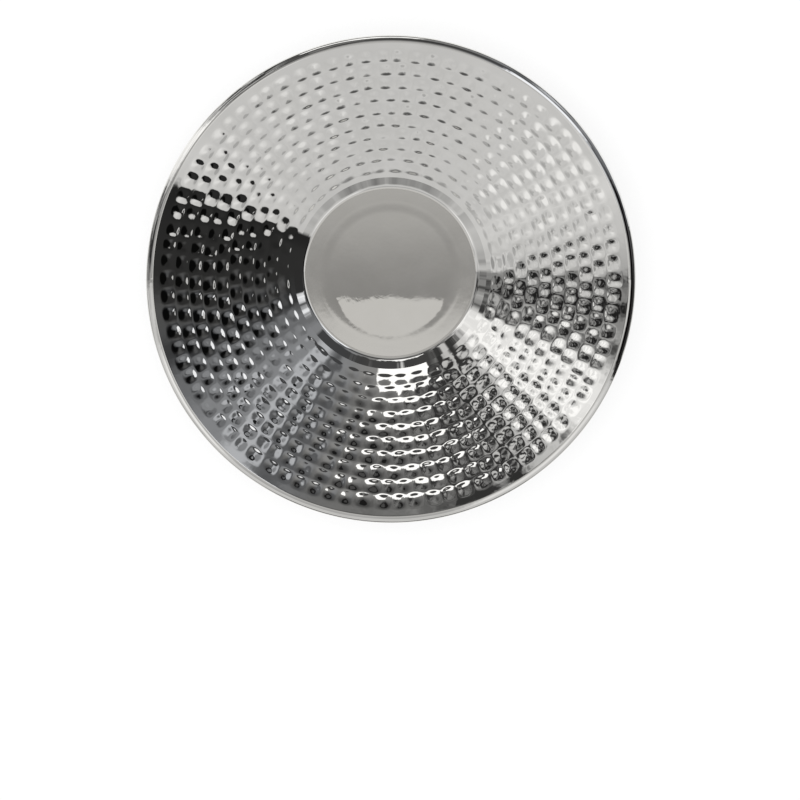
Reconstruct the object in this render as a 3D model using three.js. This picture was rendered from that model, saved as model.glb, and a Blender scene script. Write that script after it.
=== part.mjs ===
// Hammered bowl: one polished steel sheet with a sunk floor, a flared wall covered
// in rows of hammer blows, and a lip turned down and curled round a wire.
// Millimetres, +Z up, the origin under the middle of the floor.

import * as THREE from 'three';

// Driving sizes

const BOWL_DIAMETER = 350;
const WALL_ANGLE = 30;
const SHEET = 0.8;
const HIP_RADIUS = 92;
const HIP_RISE = 0.9;
const WELL_MOUTH_RADIUS = 69.5;
const WELL_DEPTH = 6;
const WELL_WALL_RUN = 4.5;
const WELL_FILLET = 3.5;
const FLOOR_LEDGE = 9.5;
const REST_STEP_RUN = 9;
const REST_STEP = 0.1;

// The lip: a tight bend over the wall's end, a flatter crown that falls outward, and a
// curl round the wire. Its angles are outward leans of the surface's normal.

const LIP_BEND_RADIUS = 1.4;
const LIP_BEND_END = 10;
const LIP_CROWN_RADIUS = 8.8;
const LIP_CROWN_END = 38;
const CURL_END = 265;
const WIRE_DIAMETER = 1.2;
const WIRE_CLEARANCE = 0.15;

// Hammering: rows get narrower from the rim to the well. Each blow is a low crown,
// nearer to its row's inner edge, and the last rows have weaker blows.

const PLAIN_BAND_TOP = 4.4;
const PLAIN_BAND_FOOT = 3.7;
const ROW_WIDTH_TOP = 10.2;
const ROW_WIDTH_FOOT = 8.2;
const BLOW_PITCH = 12.2;
const BLOW_HEIGHT = 0.6;
const FOOT_BLOW_HEIGHT = 0.3;
const FOOT_ROWS = 2;
const CROWN_PLACE = 0.6;
const ROW_STAGGER = 0.618;

// Facets

const FLOOR_SIDES = 64;
const RIM_SIDES = 80;
const BEND_STEPS = 2;
const CROWN_STEPS = 2;
const CURL_STEPS = 6;
const WIRE_SIDES = 8;
const FILLET_STEPS = 3;

// Worked-out sizes

const TURN = 2 * Math.PI;
const { degToRad, lerp, clamp } = THREE.MathUtils;
const slope = degToRad(WALL_ANGLE);
const curlRadius = WIRE_DIAMETER / 2 + WIRE_CLEARANCE + SHEET;
const floorHeight = SHEET + REST_STEP;
const mouthHeight = floorHeight + WELL_DEPTH;

const bendEnd = degToRad(LIP_BEND_END);
const crownEnd = degToRad(LIP_CROWN_END);
const curlEnd = degToRad(CURL_END);
const lipArcs = [
  { radius: LIP_BEND_RADIUS, from: -slope, to: bendEnd, steps: BEND_STEPS },
  { radius: LIP_CROWN_RADIUS, from: bendEnd, to: crownEnd, steps: CROWN_STEPS },
  { radius: curlRadius, from: crownEnd, to: curlEnd, steps: CURL_STEPS },
];

// A point at a distance from a centre, in the direction that leans outward by a tilt

function leaning([radius, height], distance, tilt) {
  return [radius + distance * Math.sin(tilt), height + distance * Math.cos(tilt)];
}

// Centres of the lip's arcs, which follow each other from a start point without a corner

function lipCentres(start) {
  let point = start;
  return lipArcs.map(({ radius, from, to }) => {
    const centre = leaning(point, -radius, from);
    point = leaning(centre, radius, to);
    return centre;
  });
}

const wallEndRadius = BOWL_DIAMETER / 2 - curlRadius - lipCentres([0, 0])[lipArcs.length - 1][0];

// The wall: a cone with a low hip beside the well, and a lift along the cone's normal,
// positive towards the inside

function wallPoint(radius, lift) {
  const up = clamp((radius - WELL_MOUTH_RADIUS) / (HIP_RADIUS - WELL_MOUTH_RADIUS), 0, 1);
  const down = clamp((wallEndRadius - radius) / (wallEndRadius - HIP_RADIUS), 0, 1);
  const hip = HIP_RISE * Math.sin((Math.PI / 2) * up) * down;
  const height = mouthHeight + (radius - WELL_MOUTH_RADIUS) * Math.tan(slope) + hip;
  return [radius - lift * Math.sin(slope), height + lift * Math.cos(slope)];
}

const arcCentres = lipCentres(wallPoint(wallEndRadius, 0));
const [wireRadius, wireHeight] = arcCentres[lipArcs.length - 1];

// A ring of points round the axis, each with its angle, radius and height

function evenRing([radius, height], sides) {
  const ring = [];
  for (let i = 0; i < sides; i += 1) {
    ring.push({ angle: (TURN * i) / sides, radius, height });
  }
  return ring;
}

// One row of blows: the crease above it, then crowns with the saddles between them

function blowRow(outerRadius, innerRadius, start, rise, offset) {
  const middle = (outerRadius + innerRadius) / 2;
  const blows = Math.round((TURN * middle) / BLOW_PITCH);
  const pitch = TURN / blows;
  const ridge = lerp(outerRadius, innerRadius, CROWN_PLACE);
  const [creaseRadius, creaseHeight] = wallPoint(outerRadius, offset);
  const [saddleRadius, saddleHeight] = wallPoint(ridge, offset);
  const [crownRadius, crownHeight] = wallPoint(ridge, offset + rise);
  const crease = [];
  const crowns = [];
  for (let i = 0; i < blows; i += 1) {
    const angle = (i + start) * pitch;
    crease.push({ angle, radius: creaseRadius, height: creaseHeight });
    crowns.push({ angle, radius: saddleRadius, height: saddleHeight });
    crowns.push({ angle: angle + pitch / 2, radius: crownRadius, height: crownHeight });
  }
  return [crease, crowns];
}

// All rows on one face of the sheet, from the rim inward.
// The widths are stretched a little, so that whole rows fill the wall.

function hammeredWall(offset) {
  const outer = wallEndRadius - PLAIN_BAND_TOP;
  const inner = WELL_MOUTH_RADIUS + PLAIN_BAND_FOOT;
  const meanWidth = (ROW_WIDTH_TOP + ROW_WIDTH_FOOT) / 2;
  const rows = Math.round((outer - inner) / meanWidth);
  const stretch = (outer - inner) / (rows * meanWidth);
  const rings = [];
  let radius = outer;
  for (let row = 0; row < rows; row += 1) {
    const width = lerp(ROW_WIDTH_TOP, ROW_WIDTH_FOOT, row / (rows - 1)) * stretch;
    const start = (row * ROW_STAGGER) % 1;
    const rise = row < rows - FOOT_ROWS ? BLOW_HEIGHT : FOOT_BLOW_HEIGHT;
    rings.push(...blowRow(radius, radius - width, start, rise, offset));
    radius -= width;
  }
  return rings;
}

// Inside profile of the well and floor, from the wall's foot to the axis.
// The fillet is a parabola that runs into the straight well wall.

function wellProfile() {
  const steepness = WELL_DEPTH / (WELL_WALL_RUN + WELL_FILLET / 2);
  const filletTop = WELL_MOUTH_RADIUS - WELL_WALL_RUN;
  const filletHeight = (steepness * WELL_FILLET) / 2;
  const profile = [wallPoint(WELL_MOUTH_RADIUS + PLAIN_BAND_FOOT, 0), wallPoint(WELL_MOUTH_RADIUS, 0)];
  for (let i = 0; i <= FILLET_STEPS; i += 1) {
    const t = i / FILLET_STEPS;
    profile.push([filletTop - t * WELL_FILLET, floorHeight + filletHeight * (1 - t) ** 2]);
  }
  const ledgeEdge = filletTop - WELL_FILLET - FLOOR_LEDGE;
  profile.push([ledgeEdge, floorHeight]);
  profile.push([ledgeEdge - REST_STEP_RUN, SHEET]);
  profile.push([0, SHEET]);
  return profile;
}

// The same profile on the sheet's other face: each corner moves along its mitre

function otherFace(profile) {
  const directions = profile.slice(1).map(([radius, height], i) =>
    Math.atan2(profile[i][1] - height, profile[i][0] - radius),
  );
  return profile.map(([radius, height], i) => {
    const before = directions[Math.max(i - 1, 0)];
    const after = directions[Math.min(i, directions.length - 1)];
    const mitre = (before + after) / 2;
    const reach = SHEET / Math.cos((before - after) / 2);
    return [radius + reach * Math.sin(mitre), height - reach * Math.cos(mitre)];
  });
}

function wellRings(profile) {
  return profile.slice(0, -1).map((point) => evenRing(point, FLOOR_SIDES));
}

// The lip's face at a depth under its outer one, from the wall's end to the curl's end

function lipRings(depth) {
  const rings = [];
  lipArcs.forEach(({ radius, from, to, steps }, arc) => {
    for (let i = arc === 0 ? 0 : 1; i <= steps; i += 1) {
      const tilt = lerp(from, to, i / steps);
      rings.push(evenRing(leaning(arcCentres[arc], radius - depth, tilt), RIM_SIDES));
    }
  });
  return rings;
}

// A closed skin over a chain of rings whose numbers of points may differ

function skin(chain, firstPole, lastPole) {
  const positions = [];
  const faces = [];
  const add = (radius, angle, height) => {
    positions.push(radius * Math.cos(angle), radius * Math.sin(angle), height);
    return positions.length / 3 - 1;
  };
  const rings = chain.map((ring) =>
    ring.map((point) => ({
      angle: point.angle,
      index: add(point.radius, point.angle, point.height),
    })),
  );
  const at = (ring, i) => ring[i % ring.length].index;
  const angleAt = (ring, i) => ring[i % ring.length].angle + (i >= ring.length ? TURN : 0);
  const first = add(0, 0, firstPole);
  const last = add(0, 0, lastPole);

  rings[0].forEach((point, i) => {
    faces.push(first, point.index, at(rings[0], i + 1));
  });
  for (let k = 0; k + 1 < rings.length; k += 1) {
    const near = rings[k];
    const far = rings[k + 1];
    let i = 0;
    let j = 0;
    while (i < near.length || j < far.length) {
      const nearNext = i < near.length ? angleAt(near, i + 1) : Infinity;
      const farNext = j < far.length ? angleAt(far, j + 1) : Infinity;
      if (nearNext <= farNext) {
        faces.push(at(near, i), at(far, j), at(near, i + 1));
        i += 1;
      } else {
        faces.push(at(near, i), at(far, j), at(far, j + 1));
        j += 1;
      }
    }
  }
  const tail = rings[rings.length - 1];
  tail.forEach((point, i) => {
    faces.push(last, at(tail, i + 1), point.index);
  });

  const geometry = new THREE.BufferGeometry();
  geometry.setAttribute('position', new THREE.Float32BufferAttribute(positions, 3));
  geometry.setIndex(faces);
  geometry.computeVertexNormals();
  return geometry;
}

// Sub-parts

const polishedSteel = new THREE.MeshStandardMaterial({
  color: 0xd6d4cf,
  roughness: 0.06,
  metalness: 1,
});

const drawnWire = new THREE.MeshStandardMaterial({
  color: 0x9a9892,
  roughness: 0.4,
  metalness: 1,
});

function bowlShell() {
  const well = wellProfile();
  const inside = [...hammeredWall(0), ...wellRings(well)].reverse();
  const outside = [...hammeredWall(-SHEET), ...wellRings(otherFace(well))];
  const lip = [...lipRings(0), ...lipRings(SHEET).reverse()];
  const geometry = skin([...inside, ...lip, ...outside], SHEET, 0);
  const mesh = new THREE.Mesh(geometry, polishedSteel);
  mesh.name = 'bowl_shell';
  return mesh;
}

function rimWire() {
  const geometry = new THREE.TorusGeometry(wireRadius, WIRE_DIAMETER / 2, WIRE_SIDES, RIM_SIDES);
  const mesh = new THREE.Mesh(geometry, drawnWire);
  mesh.name = 'rim_wire';
  mesh.position.z = wireHeight;
  return mesh;
}

const bowl = new THREE.Group();
bowl.name = 'hammered_bowl';
bowl.add(bowlShell(), rimWire());

export default bowl;
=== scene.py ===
"""Hammered bowl of mirror-polished steel on a plain white floor, seen from above in a light tent."""

import math

import bpy
import numpy as np
from mathutils import Matrix, Vector


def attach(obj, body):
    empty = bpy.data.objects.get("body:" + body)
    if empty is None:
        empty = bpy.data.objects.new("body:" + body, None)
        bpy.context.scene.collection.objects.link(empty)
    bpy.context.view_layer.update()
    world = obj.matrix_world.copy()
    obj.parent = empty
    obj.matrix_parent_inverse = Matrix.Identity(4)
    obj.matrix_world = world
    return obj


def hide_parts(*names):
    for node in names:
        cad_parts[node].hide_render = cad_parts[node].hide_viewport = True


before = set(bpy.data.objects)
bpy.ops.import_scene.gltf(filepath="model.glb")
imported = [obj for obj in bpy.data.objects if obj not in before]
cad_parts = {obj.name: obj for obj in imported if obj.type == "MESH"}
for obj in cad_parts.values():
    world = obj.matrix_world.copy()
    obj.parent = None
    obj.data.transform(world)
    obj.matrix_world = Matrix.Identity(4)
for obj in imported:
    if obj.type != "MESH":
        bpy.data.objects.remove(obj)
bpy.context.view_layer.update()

# Sizes of the bowl in millimetres, as in the part's source

MM = 0.001
BOWL_DIAMETER = 350.0
WALL_ANGLE = math.radians(30.0)
SHEET = 0.8
HIP_RADIUS = 92.0
HIP_RISE = 0.9
WELL_MOUTH_RADIUS = 69.5
FLOOR_LEDGE = 9.5
REST_STEP_RUN = 9.0
WIRE_DIAMETER = 1.2
WIRE_CLEARANCE = 0.15
LIP_BEND_RADIUS = 1.4
LIP_BEND_END = math.radians(10.0)
LIP_CROWN_RADIUS = 8.8
LIP_CROWN_END = math.radians(38.0)
CURL_END = math.radians(265.0)

# The well in millimetres, shallower than the part's and over a thicker floor, as the photo's ring shows it

FLOOR_SHEET = 2.02
WELL_DEPTH = 4.85
WELL_WALL_RUN = 5.6
WELL_FILLET = 2.4
REST_STEP = 0.0155
LEDGE_RISE = 0.0145

# Hammering in millimetres and shares: rows of low cushions, each with its steeper side towards the well

PLAIN_BAND_TOP = 4.4
PLAIN_BAND_FOOT = 3.7
ROW_WIDTH_TOP = 10.2
ROW_WIDTH_FOOT = 8.2
BLOW_PITCH = 12.2
ROW_STAGGER = 0.618
CROWN_HEIGHT = 0.60
FOOT_CROWN_HEIGHT = 0.26
FULL_ROWS = 5
CROWN_PLACE = 0.60
SADDLE_SHARE = 0.15
FOOT_SADDLE_SHARE = 0.3
ROUNDED_INSIDE = 0.2
ROUNDED_OUTSIDE = 0.75

# What a hand leaves uneven: a blow's place in pitches, its crown as a share, a row's edge in millimetres

HAND_SHIFT = 0.18
HAND_SHARE = 0.22
HAND_WANDER = 0.4
HAND_SEED = 11

# Fineness of the skins, and the plain rings' distances from the hammering and the well in millimetres

COLUMNS = 880
UNDER_COLUMNS = COLUMNS // 2
ROW_STEPS = 10
UNDER_ROW_STEPS = 6
LIP_STEPS = (9, 12, 24)
BORE_STEPS = (4, 4, 12)
PLAIN_RINGS = 5
UNDER_PLAIN_RINGS = 4
WELL_WALL_STEPS = 6
FILLET_STEPS = 8
LEDGE_STEPS = 11
REST_STEP_STEPS = 12
DISC_STEPS = 11
WIRE_SIDES = 16
PLAIN_MARGIN = 0.9
FOOT_MARGIN = 0.8
MOUTH_MARGIN = 1.2

# Worked-out sizes

CURL_RADIUS = WIRE_DIAMETER / 2 + WIRE_CLEARANCE + SHEET
LIP_ARCS = [
    (LIP_BEND_RADIUS, -WALL_ANGLE, LIP_BEND_END),
    (LIP_CROWN_RADIUS, LIP_BEND_END, LIP_CROWN_END),
    (CURL_RADIUS, LIP_CROWN_END, CURL_END),
]
FLOOR_RADIUS = WELL_MOUTH_RADIUS - WELL_WALL_RUN - WELL_FILLET
LEDGE_RADIUS = FLOOR_RADIUS - FLOOR_LEDGE
REST_RADIUS = LEDGE_RADIUS - REST_STEP_RUN
FLOOR_HEIGHT = FLOOR_SHEET + REST_STEP + LEDGE_RISE
MOUTH_HEIGHT = FLOOR_HEIGHT + WELL_DEPTH


def leaning(tilt):
    """The direction, as radius and height, that leans outward from straight up by a tilt."""
    return np.stack([np.sin(tilt), np.cos(tilt)], axis=-1)


def lip_centres(start):
    """Centres of the lip's arcs, which follow each other from a start point without a corner."""
    centres = []
    for arc, first, last in LIP_ARCS:
        centres.append(start - arc * leaning(first))
        start = centres[-1] + arc * leaning(last)
    return centres


WALL_END_RADIUS = BOWL_DIAMETER / 2 - CURL_RADIUS - lip_centres(np.zeros(2))[-1][0]
WALL_TOP_RADIUS = WALL_END_RADIUS - PLAIN_BAND_TOP
WALL_FOOT_RADIUS = WELL_MOUTH_RADIUS + PLAIN_BAND_FOOT


def cone_height(radius):
    """Height of the wall's inside face: a straight line at the wall's angle, with a low hip beside the well.

    The hip is a sine from the well's mouth to its crest, and falls evenly from there to the rim.
    """
    up = np.clip((radius - WELL_MOUTH_RADIUS) / (HIP_RADIUS - WELL_MOUTH_RADIUS), 0, 1)
    down = np.clip((WALL_END_RADIUS - radius) / (WALL_END_RADIUS - HIP_RADIUS), 0, 1)
    hip = HIP_RISE * np.sin(np.pi / 2 * up) * down
    return MOUTH_HEIGHT + (radius - WELL_MOUTH_RADIUS) * math.tan(WALL_ANGLE) + hip


def row_edges():
    """Radii of the edges between rows, whose widths fall evenly to the well and are stretched to fit."""
    run = WALL_TOP_RADIUS - WALL_FOOT_RADIUS
    rows = round(2 * run / (ROW_WIDTH_TOP + ROW_WIDTH_FOOT))
    widths = np.linspace(ROW_WIDTH_TOP, ROW_WIDTH_FOOT, rows)
    widths *= run / widths.sum()
    return WALL_TOP_RADIUS - np.concatenate([[0.0], np.cumsum(widths)])


def blow_count(angles, blows, start, hand):
    """Number of blows along a row up to each angle, a whole number at each blow's centre.

    The centres are even, each moved a little by hand, with straight lines between them.
    """
    pitch = 2 * np.pi / blows
    centres = (np.arange(blows) + start + hand.uniform(-HAND_SHIFT, HAND_SHIFT, blows)) * pitch
    laps = np.concatenate([centres - 2 * np.pi, centres, centres + 2 * np.pi])
    return np.interp(angles, laps, np.arange(-blows, 2 * blows))


def by_hand(count, blows, hand):
    """A number from -1 to 1 for each blow, carried over from one blow to the next by half a cosine."""
    values = hand.uniform(-1, 1, blows)
    before = np.floor(count).astype(int)
    blend = (1 - np.cos(np.pi * (count - before))) / 2
    return values[before % blows] * (1 - blend) + values[(before + 1) % blows] * blend


def hammered_rings(angles, steps):
    """Radius and lift of the hammered wall on a grid of even rings by angles, from the rim inward.

    Along a row the crown line is a cosine, high at each blow's centre and low at the saddle between two.
    The crowns keep their height in the outer rows and get lower from there to the foot. Across a row the
    lift is full at the crown and none at the two edges, which it meets more roundly outside and in a crease
    inside.
    """
    edges = row_edges()
    rows = len(edges) - 1
    hand = np.random.default_rng(HAND_SEED)
    counts = []
    wanders = []
    for row in range(rows):
        blows = round(np.pi * (edges[row] + edges[row + 1]) / BLOW_PITCH)
        count = blow_count(angles, blows, (row * ROW_STAGGER) % 1, hand)
        counts.append((count, blows))
        wanders.append(HAND_WANDER * by_hand(count, blows, hand))
    wanders.append(np.zeros(len(angles)))
    spread = (np.arange(steps) / steps)[:, None]
    radii = []
    lifts = []
    for row, (count, blows) in enumerate(counts):
        outer = edges[row] + wanders[row]
        inner = edges[row + 1] + wanders[row + 1]
        full = np.interp(row, [FULL_ROWS - 1, rows - 1], [CROWN_HEIGHT, FOOT_CROWN_HEIGHT])
        saddle = np.interp(row, [rows - 2, rows - 1], [SADDLE_SHARE, FOOT_SADDLE_SHARE])
        wave = saddle + (1 - saddle) * (1 + np.cos(2 * np.pi * count)) / 2
        crown = full * wave * (1 + HAND_SHARE * by_hand(count, blows, hand))
        place = CROWN_PLACE * (1 + HAND_SHARE * by_hand(count, blows, hand))
        off = np.where(spread < place, (place - spread) / place, (spread - place) / (1 - place))
        rounded = (1 + np.cos(np.pi * off)) / 2
        share = np.where(spread < place, ROUNDED_OUTSIDE, ROUNDED_INSIDE)
        radii.append(outer + spread * (inner - outer))
        lifts.append(crown * ((1 - share) * (1 - off**2) + share * rounded))
    last_edge = edges[-1] + wanders[-1]
    foot = np.stack([last_edge, last_edge - FOOT_MARGIN])
    return np.concatenate([*radii, foot]), np.concatenate([*lifts, np.zeros(foot.shape)])


def on_wall(radius, lift):
    """Point of the wall: on the cone at a radius, moved by the lift along its normal, towards the inside."""
    return radius - lift * math.sin(WALL_ANGLE), cone_height(radius) + lift * math.cos(WALL_ANGLE)


def well_profile():
    """Inside profile from the well's mouth to the middle of the floor, as radii and heights.

    A straight well wall runs into a parabola that is level at the floor; then a ledge with a slight fall
    inward, a half cosine down by the rest step, and the level disc that the bowl stands on.
    """
    steepness = WELL_DEPTH / (WELL_WALL_RUN + WELL_FILLET / 2)
    fillet_height = steepness * WELL_FILLET / 2
    wall = np.linspace(0, 1, WELL_WALL_STEPS + 1)[:-1]
    fillet = np.linspace(0, 1, FILLET_STEPS + 1)
    ledge = np.linspace(0, 1, LEDGE_STEPS + 1)[1:-1]
    step = np.linspace(0, 1, REST_STEP_STEPS + 1)
    disc = np.linspace(1, 0, DISC_STEPS + 1)[1:-1]
    radii = [
        WELL_MOUTH_RADIUS - WELL_WALL_RUN * wall,
        WELL_MOUTH_RADIUS - WELL_WALL_RUN - WELL_FILLET * fillet,
        FLOOR_RADIUS - FLOOR_LEDGE * ledge,
        LEDGE_RADIUS - REST_STEP_RUN * step,
        REST_RADIUS * disc,
    ]
    heights = [
        MOUTH_HEIGHT - steepness * WELL_WALL_RUN * wall,
        FLOOR_HEIGHT + fillet_height * (1 - fillet) ** 2,
        FLOOR_HEIGHT - LEDGE_RISE * ledge,
        FLOOR_SHEET + REST_STEP * (1 + np.cos(np.pi * step)) / 2,
        np.full(len(disc), FLOOR_SHEET),
    ]
    return np.concatenate(radii), np.concatenate(heights)


def other_face(radii, heights):
    """The well's profile on the sheet's other face: each point moves along the normal by the thickness."""
    thickness = np.interp(radii, [FLOOR_RADIUS, WELL_MOUTH_RADIUS], [FLOOR_SHEET, SHEET])
    along_r = np.gradient(radii)
    along_z = np.gradient(heights)
    length = np.hypot(along_r, along_z)
    return radii - thickness * along_z / length, heights + thickness * along_r / length


def lip_face(depth, steps):
    """Profile of the lip from the wall's end to the curl's end, on the face at a depth under the outer one.

    Three arcs follow each other: a tight bend over the wall's end, a flatter crown that falls outward, and
    the curl round the wire.
    """
    centres = lip_centres(np.array([WALL_END_RADIUS, cone_height(WALL_END_RADIUS)]))
    points = []
    for centre, (arc, first, last), count in zip(centres, LIP_ARCS, steps):
        tilts = np.linspace(first, last, count + 1)[1:]
        points.append(centre + (arc - depth) * leaning(tilts))
    return np.concatenate(points).T


def around(profile, columns):
    """A profile of radii and heights repeated at every angle."""
    radii, heights = profile
    return np.repeat(radii[:, None], columns, 1), np.repeat(heights[:, None], columns, 1)


def skin(name, grids, angles, pole_height=None, looks_down=False):
    """A closed-round skin over rings of points, with one more point where it closes on the axis, if it does.

    grids are pairs of radius and height arrays, rings by angles, in order from the rim to the axis.
    The faces look up, or down if looks_down is set.
    """
    radius = np.concatenate([g[0] for g in grids])
    height = np.concatenate([g[1] for g in grids])
    rings, columns = radius.shape
    points = np.stack([radius * np.cos(angles), radius * np.sin(angles), height], axis=-1).reshape(-1, 3)
    index = np.arange(rings * columns).reshape(rings, columns)
    beside = np.roll(index, -1, axis=1)
    way = -1 if looks_down else 1
    quads = np.stack([index[:-1], beside[:-1], beside[1:], index[1:]], axis=-1)
    corners = quads[..., ::way].ravel()
    starts = np.arange((rings - 1) * columns) * 4
    if pole_height is not None:
        points = np.concatenate([points, [[0.0, 0.0, pole_height]]])
        fan = np.stack([index[-1], beside[-1], np.full(columns, rings * columns)], axis=-1)
        starts = np.concatenate([starts, len(corners) + np.arange(columns) * 3])
        corners = np.concatenate([corners, fan[:, ::way].ravel()])
    mesh = bpy.data.meshes.new(name)
    mesh.vertices.add(len(points))
    mesh.vertices.foreach_set("co", (points * MM).ravel())
    mesh.loops.add(len(corners))
    mesh.loops.foreach_set("vertex_index", corners.astype(np.int32))
    mesh.polygons.add(len(starts))
    mesh.polygons.foreach_set("loop_start", starts.astype(np.int32))
    mesh.update(calc_edges=True)
    mesh.validate()
    mesh.shade_smooth()
    piece = bpy.data.objects.new(name, mesh)
    bpy.context.scene.collection.objects.link(piece)
    return piece


def full_circle(columns):
    """Even angles once round."""
    return np.linspace(0, 2 * np.pi, columns, endpoint=False)


def plain_band(rings):
    """Radii of the plain band's rings, from the lip down to just above the first row of blows."""
    return np.linspace(WALL_END_RADIUS, WALL_TOP_RADIUS + PLAIN_MARGIN, rings)


def bowl_lip():
    """The lip's outer face from the curl's end inward, and the plain band down to the first row of blows."""
    lip = lip_face(0.0, LIP_STEPS)[:, ::-1]
    plain = plain_band(PLAIN_RINGS)
    grids = [around(lip, COLUMNS), around((plain, cone_height(plain)), COLUMNS)]
    return skin("bowl_lip", grids, full_circle(COLUMNS))


def bowl_wall():
    """The hammered wall's inside face, from the plain band down to the well's mouth."""
    angles = full_circle(COLUMNS)
    top = plain_band(PLAIN_RINGS)[-1:]
    foot = np.array([WELL_MOUTH_RADIUS + MOUTH_MARGIN, WELL_MOUTH_RADIUS])
    grids = [
        around((top, cone_height(top)), COLUMNS),
        on_wall(*hammered_rings(angles, ROW_STEPS)),
        around((foot, cone_height(foot)), COLUMNS),
    ]
    return skin("bowl_wall", grids, angles)


def bowl_well():
    """The well's wall and the floor on the inside face, down to the axis."""
    return skin("bowl_well", [around(well_profile(), COLUMNS)], full_circle(COLUMNS), FLOOR_SHEET)


def bowl_underside():
    """The sheet's other face: from the curl's end through its bore and down the wall to the rest face."""
    angles = full_circle(UNDER_COLUMNS)
    radii, lifts = hammered_rings(angles, UNDER_ROW_STEPS)
    curl_end = lip_face(0.0, BORE_STEPS)[:, -1:]
    bore = lip_face(SHEET, BORE_STEPS)[:, ::-1]
    grids = [
        around(curl_end, UNDER_COLUMNS),
        around(bore, UNDER_COLUMNS),
        around(on_wall(plain_band(UNDER_PLAIN_RINGS), -SHEET), UNDER_COLUMNS),
        on_wall(radii, lifts - SHEET),
        around(other_face(*well_profile()), UNDER_COLUMNS),
    ]
    return skin("bowl_underside", grids, angles, 0.0, looks_down=True)


def rim_wire():
    """The round wire inside the curl: a ring of circles round the curl's own centre."""
    radius, height = lip_centres(np.array([WALL_END_RADIUS, cone_height(WALL_END_RADIUS)]))[-1]
    turn = np.linspace(0, 2 * np.pi, WIRE_SIDES + 1)
    ring = (radius + WIRE_DIAMETER / 2 * np.cos(turn), height + WIRE_DIAMETER / 2 * np.sin(turn))
    return skin("rim_wire_seen", [around(ring, UNDER_COLUMNS)], full_circle(UNDER_COLUMNS))


class Graph:
    """The node tree of a material or world, with short calls for the kinds of node used here."""

    def __init__(self, owner):
        owner.use_nodes = True
        self.nodes = owner.node_tree.nodes
        self.link = owner.node_tree.links.new
        self.nodes.clear()

    def add(self, kind):
        """A new node, by its kind's short name."""
        return self.nodes.new("ShaderNode" + kind)

    def feed(self, socket, value):
        """Set a socket to a number or tuple, or join an output to it."""
        if isinstance(value, (int, float, tuple)):
            socket.default_value = value
        else:
            self.link(value, socket)

    def reckon(self, operation, *values):
        """A sum, product or other operation on numbers and outputs."""
        node = self.add("Math")
        node.operation = operation
        for socket, value in zip(node.inputs, values):
            self.feed(socket, value)
        return node.outputs["Value"]

    def noise(self, place, scale, detail, dimensions="3D"):
        """A noise over places, or over one number if it has one dimension."""
        node = self.add("TexNoise")
        node.noise_dimensions = dimensions
        self.feed(node.inputs["Scale"], scale)
        self.feed(node.inputs["Detail"], detail)
        self.feed(node.inputs["W" if dimensions == "1D" else "Vector"], place)
        return node.outputs

    def remap(self, value, low, high, to_low=0.0, to_high=1.0, kind="LINEAR"):
        """A value carried from one span to another, and held at the span's ends."""
        node = self.add("MapRange")
        node.interpolation_type = kind
        self.feed(node.inputs["Value"], value)
        self.feed(node.inputs["From Min"], low)
        self.feed(node.inputs["From Max"], high)
        self.feed(node.inputs["To Min"], to_low)
        self.feed(node.inputs["To Max"], to_high)
        return node.outputs["Result"]

    def rise(self, value, low, high):
        """From 0 to 1 while a value goes from low to high, without a kink at either end."""
        return self.remap(value, low, high, kind="SMOOTHSTEP")

    def cover(self, share, under, over, kind="FLOAT"):
        """One number or colour laid over another by a share."""
        node = self.add("Mix")
        node.data_type = kind
        self.feed(node.inputs["Factor"], share)
        self.feed(node.inputs["A"], under)
        self.feed(node.inputs["B"], over)
        return node.outputs["Result"]

    def tint(self, value, dark, light):
        """A colour between two."""
        node = self.add("ValToRGB")
        node.color_ramp.elements[0].color = dark
        node.color_ramp.elements[1].color = light
        self.feed(node.inputs["Fac"], value)
        return node.outputs["Color"]


# Metals: colours, roughness, and noises as scale per metre and detail

STEEL_DARK = (0.80, 0.79, 0.76, 1)
STEEL_LIGHT = (0.86, 0.85, 0.83, 1)
CLOUDS = (60.0, 4.0)
CLOUD_SPAN = (0.35, 0.7)
CLOUD_ROUGHNESS = 0.015
LEDGE_ROUGHNESS = 0.022
WIRE_DARK = (0.42, 0.42, 0.40, 1)
WIRE_LIGHT = (0.58, 0.58, 0.55, 1)
WIRE_LINES = (900.0, 2.0)
WIRE_ROUGHNESS = 0.4

# Unevenness of the polished skin: noises as above, and depths in metres on the wall and on the floor

UNEVEN = (220.0, 1.0)
WALL_UNEVEN_DEPTH = 2.8e-5
FLOOR_UNEVEN_DEPTH = 1.0e-6
SLOW_WAVES = (28.0, 1.0)
FLOOR_WAVE_DEPTH = 1.5e-5
TURNED_LINES = (1400.0, 2.0)
FLOOR_LINE_DEPTH = 1.4e-7

# Distances from the well's mouth, in millimetres, over which the floor's finish gives way to the wall's

SATIN_END = (-8.0, -5.0)
UNEVEN_START = (0.0, 6.0)
FLOOR_FINISH_END = (-4.0, 4.0)


def metal(name):
    """A metal's material, its node graph, its shader and the object's own coordinates."""
    material = bpy.data.materials.new(name)
    graph = Graph(material)
    shader = graph.add("BsdfPrincipled")
    graph.feed(shader.inputs["Metallic"], 1.0)
    graph.link(shader.outputs["BSDF"], graph.add("OutputMaterial").inputs["Surface"])
    return material, graph, shader, graph.add("TexCoord").outputs["Object"]


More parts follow.
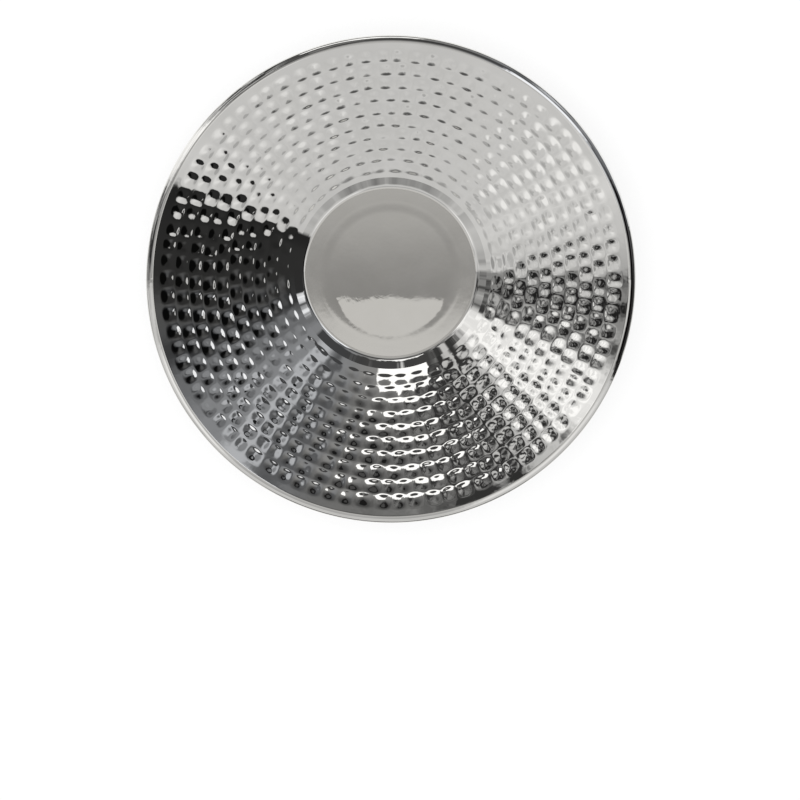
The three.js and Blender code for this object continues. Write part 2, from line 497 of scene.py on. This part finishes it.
def polished_steel():
    """Mirror-polished steel: a warm light grey with faint clouds, an uneven skin and turned lines.

    The skin's height is a fine noise, strong on the hammered wall and very weak on the floor, plus slow waves
    and a noise of the radius alone on the floor, which makes the turned lines. The ledge is a little duller.
    """
    material, graph, shader, place = metal("polished_steel")
    flat = graph.add("VectorMath")
    flat.operation = "MULTIPLY"
    graph.feed(flat.inputs[0], place)
    graph.feed(flat.inputs[1], (1.0, 1.0, 0.0))
    length = graph.add("VectorMath")
    length.operation = "LENGTH"
    graph.feed(length.inputs[0], flat.outputs["Vector"])
    radius = length.outputs["Value"]

    def near_mouth(span, to_low, to_high):
        low, high = ((WELL_MOUTH_RADIUS + distance) * MM for distance in span)
        return graph.remap(radius, low, high, to_low, to_high)

    clouds = graph.noise(place, *CLOUDS)["Fac"]
    graph.feed(shader.inputs["Base Color"], graph.tint(clouds, STEEL_DARK, STEEL_LIGHT))
    satin_start = graph.remap(radius, REST_RADIUS * MM, LEDGE_RADIUS * MM, 0.0, LEDGE_ROUGHNESS)
    satin = graph.reckon("MINIMUM", satin_start, near_mouth(SATIN_END, LEDGE_ROUGHNESS, 0.0))
    polish = graph.remap(clouds, *CLOUD_SPAN, 0.0, CLOUD_ROUGHNESS)
    graph.feed(shader.inputs["Roughness"], graph.reckon("ADD", polish, satin))

    uneven = graph.noise(place, *UNEVEN)["Fac"]
    waves = graph.noise(place, *SLOW_WAVES)["Fac"]
    lines = graph.noise(radius, *TURNED_LINES, "1D")["Fac"]
    uneven_depth = near_mouth(UNEVEN_START, FLOOR_UNEVEN_DEPTH, WALL_UNEVEN_DEPTH)
    wave_depth = near_mouth(FLOOR_FINISH_END, FLOOR_WAVE_DEPTH, 0.0)
    line_depth = near_mouth(FLOOR_FINISH_END, FLOOR_LINE_DEPTH, 0.0)
    height = graph.reckon("MULTIPLY", uneven, uneven_depth)
    height = graph.reckon("ADD", height, graph.reckon("MULTIPLY", waves, wave_depth))
    height = graph.reckon("ADD", height, graph.reckon("MULTIPLY", lines, line_depth))
    bump = graph.add("Bump")
    graph.feed(bump.inputs["Distance"], 1.0)
    graph.feed(bump.inputs["Height"], height)
    graph.feed(shader.inputs["Normal"], bump.outputs["Normal"])
    return material


def drawn_wire():
    """Drawn steel wire: darker and duller, with a fine grain."""
    material, graph, shader, place = metal("drawn_wire")
    lines = graph.noise(place, *WIRE_LINES)["Fac"]
    graph.feed(shader.inputs["Base Color"], graph.tint(lines, WIRE_DARK, WIRE_LIGHT))
    graph.feed(shader.inputs["Roughness"], WIRE_ROUGHNESS)
    return material


# Floor: half its side and its drop under the bowl in metres, its colour and the share seen as plain white

SWEEP_HALF = 60.0
SWEEP_DROP = 0.0001
SWEEP_COLOR = (0.9, 0.9, 0.9, 1)
WHITE_SHARE = 0.80


def white_sweep():
    """The floor: a large white sheet just under the bowl, which takes its soft shadow."""
    mesh = bpy.data.meshes.new("white_sweep")
    signs = [(-1, -1), (1, -1), (1, 1), (-1, 1)]
    mesh.from_pydata([(x * SWEEP_HALF, y * SWEEP_HALF, -SWEEP_DROP) for x, y in signs], [], [(0, 1, 2, 3)])
    sweep = bpy.data.objects.new("white_sweep", mesh)
    bpy.context.scene.collection.objects.link(sweep)
    material = bpy.data.materials.new("white_paper")
    graph = Graph(material)
    paper = graph.add("BsdfDiffuse")
    graph.feed(paper.inputs["Color"], SWEEP_COLOR)
    white = graph.add("Emission")
    graph.feed(white.inputs["Strength"], 1.0)
    rays = graph.add("LightPath").outputs
    seen = graph.reckon("MAXIMUM", rays["Is Camera Ray"], rays["Is Glossy Ray"])
    seen = graph.reckon("MAXIMUM", seen, rays["Is Transmission Ray"])
    blend = graph.add("MixShader")
    graph.feed(blend.inputs["Fac"], graph.reckon("MULTIPLY", seen, WHITE_SHARE))
    graph.link(paper.outputs["BSDF"], blend.inputs[1])
    graph.link(white.outputs["Emission"], blend.inputs[2])
    graph.link(blend.outputs["Shader"], graph.add("OutputMaterial").inputs["Surface"])
    mesh.materials.append(material)


# Panels of the light tent, each over the earlier ones. In degrees: the bearing from +Y, clockwise seen from
# above, half the width, the lowest and highest elevation, the softness of the edges; then the brightness.

PANELS = [
    # In front, where the back wall's mirror looks
    (180, 75, 45, 69, 16, 0.74),
    (180, 70, 44, 66, 5, 0.45),
    (143, 20, 36, 60, 12, 0.88),
    (180, 85, -5, 17, 4, 0.44),
    (245, 20, 12, 20.5, 2, 0.44),
    (176, 30, -5, 14, 9, 0.10),
    (240, 8, 16, 46, 16, 0.71),
    (232, 14, 35, 56, 12, 0.95),
    # Behind, where the front wall's mirror looks
    (18, 66, 1, 17, 4, 1.00),
    (0, 75, 38.5, 62.5, 16, 0.07),
    (330, 18, 18, 68, 16, 0.04),
    (66, 3, 20, 54, 5, 0.18),
    (55, 4, 24, 56, 6, 0.27),
    (46, 4, 22, 50, 6, 0.52),
    (36, 3, 20, 60, 6, 0.12),
    # On the right, where the left wall's mirror looks
    (105, 14, 1, 52, 3, 0.020),
    (92, 19, 3, 52, 14, 0.030),
    (95, 22, 37, 56, 5, 0.003),
    (78, 40, 65, 82, 4, 0.80),
    (49, 14, 53, 72, 5, 1.15),
    (62, 20, 4, 20, 2, 1.10),
    (95, 18, 9, 16, 2, 0.60),
    (86, 6, 28, 38, 10, 0.09),
    # On the left, where the right wall's mirror looks
    (271, 7, 1, 60, 4, 0.012),
    (284, 3, 1, 46.5, 3, 0.05),
    (282, 20, 11, 15.5, 2, 0.90),
    (298, 9, 1, 65, 10, 1.25),
    # Behind, where the well's front wall and the wall's foot above it look
    (5, 50, 18, 26, 1.5, 0.06),
    (-8, 17, 26, 34, 1.5, 1.30),
    (0, 55, 46.5, 49.5, 1, 0.012),
    # Low, all round
    (0, 181, -95, -1, 2, 0.90),
]

# Stretches where the room behind the tent shows through, in the same order, with its share at the end

ROOM_VIEWS = [
    (284, 28, 3, 71, 16, 0.28),
    (318, 10, 4, 72, 10, 0.60),
    (338, 16, 34, 68, 14, 0.20),
]

# Brightness of the tent's front and back cloth, and the elevations in degrees where each passes into its top

FRONT_LEVEL = 0.64
TOP_FRONT_LEVEL = 0.595
FRONT_RISE = (72, 82)
BACK_LEVEL = 0.26
TOP_LEVEL = 0.45
EDGE_LEVEL = 0.27
BACK_RISE = (45, 82)

# The front cloth's edge, forward of straight up, and where the back cloth starts to get darker towards it

FRONT_EDGE = math.radians(5.15)
EDGE_SOFTNESS = 0.0001
TOP_FADE = math.radians(4.3)

# Noises of the tent, as scale and detail: its wavy edges, the room's things and the cloths' folds

WAVES = (6.0, 4.0)
WAVINESS = math.radians(12.0)
ROOM_THINGS = (9.0, 3.0)
ROOM_SPAN = (0.42, 0.60)
ROOM_LEVELS = (0.03, 0.95)
FOLDS = (5.0, 2.0)
FOLD_SPAN = (0.3, 0.7)
FOLD_LEVELS = (0.95, 1.04)

# Colours of the tent's light: plain, cooler in one stretch that is given as a panel's is, and warmer overhead

PLAIN_TINT = (1.0, 1.0, 1.0, 1)
COOL_TINT = (0.95, 0.98, 1.04, 1)
COOL_STRETCH = (55, 30, 15, 80, 24)
WARM_TINT = (1.015, 1.0, 0.972, 1)
WARM_RISE = (70, 82)


def light_tent():
    """The world: a light tent round the bowl, the same for every kind of ray.

    The tent's front half is a light cloth and its back half a darker one, lighter overhead. Each panel covers
    a stretch of bearing and elevation with its own brightness, and then come glimpses of a room behind. The
    edges are made wavy by a noise that moves bearing and elevation a little.
    """
    world = bpy.data.worlds.new("light_tent")
    bpy.context.scene.world = world
    graph = Graph(world)
    place = graph.add("TexCoord").outputs["Generated"]
    axes = graph.add("SeparateXYZ")
    graph.feed(axes.inputs["Vector"], place)
    shifts = graph.add("SeparateColor")
    graph.feed(shifts.inputs["Color"], graph.noise(place, *WAVES)["Color"])
    sideways = graph.reckon("MULTIPLY_ADD", shifts.outputs["Red"], WAVINESS, -WAVINESS / 2)
    upward = graph.reckon("MULTIPLY_ADD", shifts.outputs["Green"], WAVINESS, -WAVINESS / 2)
    bearing = graph.reckon("ADD", graph.reckon("ARCTAN2", axes.outputs["X"], axes.outputs["Y"]), sideways)
    elevation = graph.reckon("ADD", graph.reckon("ARCSINE", axes.outputs["Z"]), upward)
    forward = graph.reckon("MULTIPLY", axes.outputs["Y"], -1.0)

    def above(span):
        return graph.rise(elevation, *map(math.radians, span))

    def stretch(toward, *spans):
        half, low, high, soft = map(math.radians, spans)
        off = graph.reckon("SUBTRACT", bearing, math.radians(toward))
        off = graph.reckon("ABSOLUTE", graph.reckon("WRAP", off, math.pi, -math.pi))
        within = graph.reckon("SUBTRACT", 1.0, graph.rise(off, half - soft / 2, half + soft / 2))
        over_low = graph.rise(elevation, low - soft / 2, low + soft / 2)
        over_high = graph.rise(elevation, high - soft / 2, high + soft / 2)
        return graph.reckon("MULTIPLY", within, graph.reckon("SUBTRACT", over_low, over_high))

    edge = math.sin(FRONT_EDGE)
    overhead = graph.cover(graph.rise(forward, math.sin(TOP_FADE), edge), TOP_LEVEL, EDGE_LEVEL)
    back = graph.cover(above(BACK_RISE), BACK_LEVEL, overhead)
    front = graph.cover(above(FRONT_RISE), FRONT_LEVEL, TOP_FRONT_LEVEL)
    level = graph.cover(graph.rise(forward, edge - EDGE_SOFTNESS, edge + EDGE_SOFTNESS), back, front)
    for *spans, brightness in PANELS:
        level = graph.cover(stretch(*spans), level, brightness)
    room = graph.noise(place, *ROOM_THINGS)["Fac"]
    things = graph.cover(graph.rise(room, *ROOM_SPAN), *ROOM_LEVELS)
    for *spans, share in ROOM_VIEWS:
        level = graph.cover(graph.reckon("MULTIPLY", stretch(*spans), share), level, things)
    folds = graph.noise(place, *FOLDS)["Fac"]
    shade = graph.cover(graph.rise(folds, *FOLD_SPAN), *FOLD_LEVELS)
    color = graph.cover(stretch(*COOL_STRETCH), PLAIN_TINT, COOL_TINT, "RGBA")
    color = graph.cover(above(WARM_RISE), color, WARM_TINT, "RGBA")
    sky = graph.add("Background")
    graph.feed(sky.inputs["Color"], color)
    graph.feed(sky.inputs["Strength"], graph.reckon("MULTIPLY", level, shade))
    graph.link(sky.outputs["Background"], graph.add("OutputWorld").inputs["Surface"])


# Lamp over the bowl, in metres and watts

LAMP_PLACE = (-0.15, 0.2, 2.6)
LAMP_SIZE = 2.0
LAMP_ENERGY = 66.0


def soft_light():
    """One large soft lamp over the bowl, aimed at it, which gives the floor its soft shadow."""
    data = bpy.data.lights.new("soft_light", "AREA")
    data.shape = "DISK"
    data.size = LAMP_SIZE
    data.energy = LAMP_ENERGY
    light = bpy.data.objects.new("soft_light", data)
    light.location = LAMP_PLACE
    light.rotation_euler = Vector(LAMP_PLACE).to_track_quat("Z", "Y").to_euler()
    light.visible_glossy = False
    light.visible_camera = False
    bpy.context.scene.collection.objects.link(light)


# Camera: the photograph's upper view, with the rim's middle and radius at the photograph's pixels

IMAGE_SIDE_PX = 800
RIM_MIDDLE_PX = (391.0, 280.2)
RIM_RADIUS_PX = 245.0
CAMERA_DISTANCE = 5.0
LEAN_BACK = math.radians(5.0)
LEAN_LEFT = math.radians(0.45)
SENSOR = 36.0


def picture_axes(back):
    """Right and up in a picture that is taken against a direction, with its top towards +Y."""
    right = Vector((0, 1, 0)).cross(back).normalized()
    return right, back.cross(right)


def camera_above():
    """A long lens over the bowl, leaning a little back, aimed so that the rim falls as in the photo."""
    data = bpy.data.cameras.new("camera_above")
    focal_px = RIM_RADIUS_PX * CAMERA_DISTANCE / (BOWL_DIAMETER / 2 * MM)
    data.sensor_width = SENSOR
    data.lens = focal_px / IMAGE_SIDE_PX * SENSOR
    rim_middle = Vector((0, 0, cone_height(WALL_END_RADIUS) * MM))
    away = Vector((-math.sin(LEAN_LEFT), math.sin(LEAN_BACK), math.cos(LEAN_BACK))).normalized()
    right, up = picture_axes(away)
    across = (IMAGE_SIDE_PX / 2 - RIM_MIDDLE_PX[0]) / focal_px * CAMERA_DISTANCE
    upward = (RIM_MIDDLE_PX[1] - IMAGE_SIDE_PX / 2) / focal_px * CAMERA_DISTANCE
    place = rim_middle + away * CAMERA_DISTANCE
    target = rim_middle + right * across + up * upward
    back = (place - target).normalized()
    right, up = picture_axes(back)
    camera = bpy.data.objects.new("camera_above", data)
    turn = Matrix((right, up, back)).transposed().to_4x4()
    camera.matrix_world = Matrix.Translation(place) @ turn
    bpy.context.scene.collection.objects.link(camera)
    bpy.context.scene.camera = camera


# The bowl and its studio

steel = polished_steel()
for piece in (bowl_lip(), bowl_wall(), bowl_well(), bowl_underside()):
    piece.data.materials.append(steel)
    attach(piece, "root")
    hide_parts("bowl_shell")

wire = rim_wire()
wire.data.materials.append(drawn_wire())
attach(wire, "root")
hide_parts("rim_wire")

white_sweep()
light_tent()
soft_light()
camera_above()
bpy.context.scene.view_settings.view_transform = "Standard"
